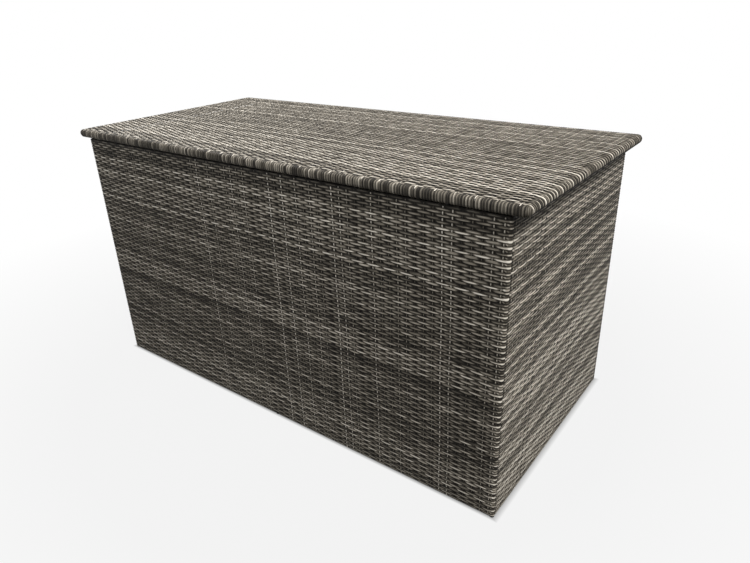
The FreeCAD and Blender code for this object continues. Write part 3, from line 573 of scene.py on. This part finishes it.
def cane_finish(axis):
    """Extruded polyethylene cane. It is satin, with long grey streaks from half-mixed colour,
    which drift along the strip, and fine ridges from the die. Axis is across the strips."""
    material, tree, principled = new_finish("extruded_cane_across_" + axis, Roughness=0.55,
                                            IOR=1.5, Specular_IOR_Level=0.05)
    drift_long, drift_strip = 1 / 0.09, 1 / 0.006
    streak_long, streak_wide = 1 / 0.05, 1 / 0.0016
    ridge_wide = 1 / 0.001
    across = "xyz".index(axis)
    drift_scale, streak_scale = [drift_long] * 3, [streak_long] * 3
    drift_scale[across], streak_scale[across] = drift_strip, streak_wide
    ridge_scale = [streak_long] * 3
    ridge_scale[across] = ridge_wide
    drift = add(tree, "ShaderNodeTexNoise", {"Vector": object_scaled(tree, drift_scale),
                                             "Scale": 1, "Detail": 2})
    streak = add(tree, "ShaderNodeTexNoise", {"Vector": object_scaled(tree, streak_scale),
                                              "Scale": 1, "Detail": 3})
    # The strip's own tone, moved up and down by both noises, whose middle is then taken off
    drift_share, streak_share, middle = 0.5, 0.5, 0.68
    tone = add(tree, "ShaderNodeAttribute", attribute_name="tone").outputs["Fac"]
    drifted = add(tree, "ShaderNodeMath", {0: drift.outputs["Fac"], 1: drift_share, 2: tone},
                  operation="MULTIPLY_ADD")
    streaked = add(tree, "ShaderNodeMath", {0: streak.outputs["Fac"], 1: streak_share,
                                            2: drifted.outputs[0]}, operation="MULTIPLY_ADD")
    level = add(tree, "ShaderNodeMath", {0: streaked.outputs[0], 1: middle},
                operation="SUBTRACT").outputs[0]
    # Painted light: the crest attribute paints the crests paler and the dives darker, those of pale
    # strips most
    crest_power, crest_by_tone, crest_least = 1.5, 1.4, 0.4
    crest = add(tree, "ShaderNodeAttribute", attribute_name="crest").outputs["Fac"]
    sharp = add(tree, "ShaderNodeMath", {0: crest, 1: crest_power},
                operation="POWER").outputs[0]
    gain = add(tree, "ShaderNodeMath", {0: tone, 1: crest_by_tone, 2: crest_least},
               operation="MULTIPLY_ADD").outputs[0]
    lifted = add(tree, "ShaderNodeMath", {0: sharp, 1: gain, 2: level},
                 operation="MULTIPLY_ADD").outputs[0]
    colour = ramp(tree, lifted, [(0, "#1f1d1a"), (0.2, "#3b3731"), (0.5, "#7e776b"),
                                 (0.8, "#c4bbad"), (1, "#e2dbce")])
    tree.links.new(colour, principled.inputs["Base Color"])
    ridges = add(tree, "ShaderNodeTexNoise", {"Vector": object_scaled(tree, ridge_scale),
                                              "Scale": 1, "Detail": 1})
    bump = add(tree, "ShaderNodeBump", {"Height": ridges.outputs["Fac"], "Strength": 0.35,
                                        "Distance": 0.0002})
    tree.links.new(bump.outputs["Normal"], principled.inputs["Normal"])
    return material


def grained_finish(name, light, dark, grain, depth, **shader):
    """A fine even grain: powder coat, moulded plastic or cast zinc, by its scale in metres."""
    material, tree, principled = new_finish(name, **shader)
    place = object_scaled(tree, [1 / grain] * 3)
    noise = add(tree, "ShaderNodeTexNoise", {"Vector": place, "Scale": 1, "Detail": 3})
    colour = ramp(tree, noise.outputs["Fac"], [(0.3, dark), (0.7, light)])
    tree.links.new(colour, principled.inputs["Base Color"])
    bump = add(tree, "ShaderNodeBump", {"Height": noise.outputs["Fac"], "Strength": 0.5,
                                        "Distance": depth})
    tree.links.new(bump.outputs["Normal"], principled.inputs["Normal"])
    return material


def dress(piece, material, slot, *nodes):
    """Gives a new piece its material, and hides the CAD nodes that it stands for. The slot is not
    used.
    """
    piece.data.materials.clear()
    piece.data.materials.append(material)
    if nodes:
        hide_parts(*nodes)


def dress_cad(finishes):
    """Gives every CAD node that still shows the finish of its material slot."""
    for part in frame["record"]["subparts"]:
        piece = frame["nodes"][part["node"]]
        finish = finishes.get(part["material_slot"])
        if finish and not piece.hide_render:
            piece.data.materials.clear()
            piece.data.materials.append(finish)


def seen_rays(tree):
    """1 for what the camera sees, straight or in a gloss, and 0 for light on the object."""
    rays = add(tree, "ShaderNodeLightPath")
    return add(tree, "ShaderNodeMath", {0: rays.outputs["Is Camera Ray"],
                                        1: rays.outputs["Is Glossy Ray"]},
               operation="MAXIMUM").outputs[0]


def make_floor():
    """A floor that shows the box's shadow, and grows white away from the box."""
    bpy.ops.mesh.primitive_plane_add(size=60, location=(0, 0, 0))
    floor = bpy.context.object
    floor.name = "studio_floor"
    material, tree, principled = new_finish("matt_white_floor", Roughness=0.9)
    principled.inputs["Base Color"].default_value = linear("#464644")
    shadow_ends, white_from, white_near = 0.9, 2.2, 0.88
    place = add(tree, "ShaderNodeTexCoord").outputs["Object"]
    away = add(tree, "ShaderNodeVectorMath", {0: place}, operation="LENGTH").outputs["Value"]
    whiter = add(tree, "ShaderNodeMapRange", {"Value": away, "From Min": shadow_ends,
                                              "From Max": white_from, "To Min": white_near,
                                              "To Max": 1})
    # Under the box the floor is only as light as what falls on it
    box_half = (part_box("front_weave")[1].x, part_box("back_weave")[1].y, 1)
    inner_share, outer_share = 0.98, 1.02
    aside = add(tree, "ShaderNodeVectorMath", {0: place}, operation="ABSOLUTE").outputs[0]
    shares = add(tree, "ShaderNodeVectorMath", {0: aside, 1: box_half},
                 operation="DIVIDE").outputs[0]
    sides = add(tree, "ShaderNodeSeparateXYZ", {"Vector": shares}).outputs
    furthest = add(tree, "ShaderNodeMath", {0: sides["X"], 1: sides["Y"]}, operation="MAXIMUM")
    clear = add(tree, "ShaderNodeMapRange", {"Value": furthest.outputs[0],
                                             "From Min": inner_share, "From Max": outer_share})
    own = add(tree, "ShaderNodeMath", {0: clear.outputs["Result"],
                                       1: whiter.outputs["Result"]}, operation="MULTIPLY")
    share = add(tree, "ShaderNodeMath", {0: seen_rays(tree), 1: own.outputs[0]},
                operation="MULTIPLY")
    white = add(tree, "ShaderNodeEmission", {"Color": (1, 1, 1, 1), "Strength": 1})
    mixed = add(tree, "ShaderNodeMixShader", {0: share.outputs[0],
                                              1: principled.outputs["BSDF"],
                                              2: white.outputs["Emission"]})
    tree.links.new(mixed.outputs["Shader"], tree.nodes["Material Output"].inputs["Surface"])
    floor.data.materials.append(material)


def make_surround():
    """White to the camera and in glosses, but only a little light on the object."""
    world = bpy.data.worlds.new("white_surround")
    bpy.context.scene.world = world
    world.use_nodes = True
    tree = world.node_tree
    ambient = 0.12
    strength = add(tree, "ShaderNodeMath", {0: seen_rays(tree), 1: 1 - ambient, 2: ambient},
                   operation="MULTIPLY_ADD")
    tree.links.new(strength.outputs[0], tree.nodes["Background"].inputs["Strength"])
    tree.nodes["Background"].inputs["Color"].default_value = (1, 1, 1, 1)


def make_lamps():
    """Soft lamps from above: place in metres, size, watts and colour."""
    aim = Vector((0, 0, 0.4))
    lamps = {"key_right": ((3.4, -1.65, 5.0), 3.0, 430, "#ffffff"),
             "above_left": ((-1.9, 0.3, 2.6), 1.2, 42, "#ffffff"),
             "fill_front": ((-1.5, -4.0, 3.6), 2.0, 82, "#f0f6ff")}
    for name, (spot, size, watts, colour) in lamps.items():
        lamp = bpy.data.lights.new(name, "AREA")
        lamp.shape = "DISK"
        lamp.size = size
        lamp.energy = watts
        lamp.color = linear(colour)[:3]
        holder = bpy.data.objects.new(name, lamp)
        holder.location = spot
        holder.rotation_euler = (aim - Vector(spot)).to_track_quat("-Z", "Y").to_euler()
        bpy.context.scene.collection.objects.link(holder)


def make_camera():
    """The camera as solved from the box's edges: place in metres, angles in degrees."""
    azimuth, elevation, roll = (math.radians(angle) for angle in (37.43, 25.04, -2.02))
    look = Vector((-math.sin(azimuth) * math.cos(elevation),
                   math.cos(azimuth) * math.cos(elevation), -math.sin(elevation)))
    level = Vector((math.cos(azimuth), math.sin(azimuth), 0))
    upright = level.cross(look)
    right = math.cos(roll) * level + math.sin(roll) * upright
    up = math.cos(roll) * upright - math.sin(roll) * level
    camera = bpy.data.cameras.new("camera")
    camera.lens, camera.sensor_width = 29.67, 36
    holder = bpy.data.objects.new("camera", camera)
    turn = Matrix((right, up, -look)).transposed().to_4x4()
    holder.matrix_world = Matrix.Translation((1.2252, -1.4385, 1.1931)) @ turn
    bpy.context.scene.collection.objects.link(holder)
    bpy.context.scene.camera = holder


cane = {axis: cane_finish(axis) for axis in "xyz"}
make_camera()
make_floor()
make_surround()
make_lamps()

# Rows from the light reels, in millimetres below the top of a wall or from the lid's rear edge
LIGHT_ROWS = {
    "front": (60, 74, 102, 122, 144, 158, 172, 193, 214, 236, 271, 292, 306, 349,
              392, 412, 434, 449, 493, 521, 536, 566, 596, 625, 654, 692, 715, 736, 752),
    "right": (60, 83, 101, 137, 182, 229, 274, 344, 375, 411, 445, 468, 505, 537, 575, 616, 642,
              690, 729, 770),
    "lid": (30, 85, 125, 169, 216, 260, 319, 366, 395, 424, 431, 480, 520, 547, 580, 609, 640,
            661, 668, 705)}
LIGHT_SHARE = 0.3
FRONT_LIGHT_STAKES = (9, 22, 24, 27, 28, 30, 34, 36, 38, 40, 43, 44, 45, 48, 51, 56, 57, 61, 62)


def light_rows(cloth, seed):
    """Which rows, counted from the foot, come from the light reel. The given levels were
    read from under the lid's edge or the winding, a little above the first row."""
    if cloth.name not in LIGHT_ROWS:
        return scattered(cloth.rows, LIGHT_SHARE, seed)
    pitch, first_level = pitch_of(cloth) / MM, 9
    return [cloth.rows - 1 - int(max(0, level - first_level) / pitch)
            for level in LIGHT_ROWS[cloth.name]]


for cloth in wall_cloths():
    is_long = cloth.bend > 0
    seed = {"front": 11, "back": 12, "left": 13, "right": 14}[cloth.name]
    if cloth.name == "front":
        light_stakes = FRONT_LIGHT_STAKES
    else:
        light_stakes = scattered(cloth.stakes, LIGHT_SHARE, seed + 20)
    # Painted light: the same cane gets other tones on the long walls and on the side walls, whose
    # grey strips are also painted paler towards the foot
    tones = dict(light_tone=0.31, base=0.17) if is_long else dict(light_tone=0.45, base=0.1,
                                                                  paler=0.1)
    weave(cloth, reel_tones(cloth.rows, seed, light_rows(cloth, seed), **tones),
          reel_tones(cloth.stakes, seed + 40, light_stakes, light_tone=0.34, base=0.1),
          "z", "x" if is_long else "y")
    rail_winding(cloth, "x" if is_long else "y")

lid = lid_cloth()
# The lid's rows and stakes get their own tones as painted light
weave(lid, reel_tones(lid.rows, 21, light_rows(lid, 22), light_tone=0.29, base=0.14),
      reel_tones(lid.stakes, 23, scattered(lid.stakes, LIGHT_SHARE, 24), light_tone=0.4,
                 base=0.15), "y", "x")
lid_winding(lid, "front", "lid_front_binding", -1, 31)
lid_winding(lid, "back", "lid_back_binding", 1, 32)
stake_ends(lid)

dress_cad({
    "grey_powder_coat": grained_finish("powder_coated_aluminium", "#5b5b5c", "#4c4c4e", 0.0009,
                                       0.00008, Roughness=0.55, Metallic=0.0),
    "zinc_steel": grained_finish("bright_zinc_plate", "#a9acb1", "#95999e", 0.0025, 0.00003,
                                 Roughness=0.32, Metallic=1.0),
    "black_enamel": grained_finish("black_stoved_enamel", "#1c1c1e", "#161617", 0.002, 0.00002,
                                   Roughness=0.25),
    "chrome_rod": grained_finish("hard_chrome", "#d9dadc", "#cfd1d4", 0.004, 0.00001,
                                 Roughness=0.08, Metallic=1.0),
    "black_nylon": grained_finish("moulded_nylon", "#242424", "#1b1b1b", 0.0006, 0.00005,
                                  Roughness=0.5),
    "black_rubber": grained_finish("matt_rubber", "#262626", "#1e1e1e", 0.0012, 0.00006,
                                   Roughness=0.8)})

scene = bpy.context.scene
scene.view_settings.view_transform = "Standard"
